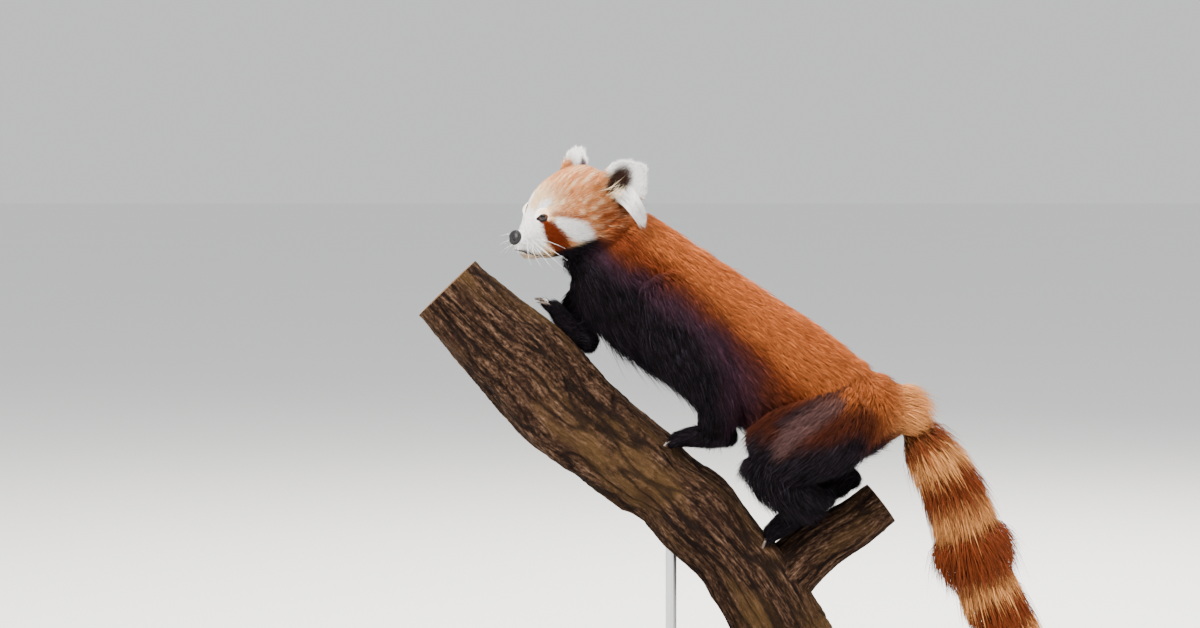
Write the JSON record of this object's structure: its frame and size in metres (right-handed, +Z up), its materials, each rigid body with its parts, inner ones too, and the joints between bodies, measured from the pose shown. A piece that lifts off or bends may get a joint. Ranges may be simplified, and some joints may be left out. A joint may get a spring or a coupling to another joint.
{
  "type": "red panda model",
  "caption": "Still life-size red panda climbing a sloping cut branch, held on a plain display stand of flat base and rods.",
  "frame": {"origin": "centre of the underside of the stand's flat base", "axes": "+Z up, the animal faces -X along the branch, its left side towards -Y"},
  "size_m": [0.8293, 0.3, 0.7247],
  "materials": {
    "fur_rust": "soft rust-red coat",
    "fur_dark": "soft near-black coat",
    "fur_pale": "soft white and cream coat",
    "fur_buff": "soft buff coat",
    "nose_leather": "damp, pebbled",
    "eye": "clear wet gloss",
    "claw": "pale horn, satin",
    "bark": "rough, cracked bark",
    "stand_paint": "matt black paint on board",
    "stand_steel": "brushed"
  },
  "bodies": {
    "root": {"head": "fur_rust", "nose": "nose_leather", "eye_left": "eye", "eye_right": "eye", "ear_left": "fur_pale", "ear_right": "fur_pale", "neck": "fur_rust", "torso_front": "fur_rust", "torso_rear": "fur_rust", "upper_arm_left": "fur_dark", "upper_arm_right": "fur_dark", "forearm_left": "fur_dark", "forearm_right": "fur_dark", "forefoot_left": "fur_dark", "forefoot_right": "fur_dark", "thigh_left": "fur_dark", "thigh_right": "fur_dark", "shank_left": "fur_dark", "shank_right": "fur_dark", "hindfoot_left": "fur_dark", "hindfoot_right": "fur_dark", "tail_1": "fur_rust", "tail_2": "fur_buff", "tail_3": "fur_rust", "tail_4": "fur_buff", "perch_trunk": "bark", "perch_branch": "bark", "stand_base": "stand_paint", "stand_rod_front": "stand_steel", "stand_rod_rear": "stand_steel"}
  },
  "joints": []
}
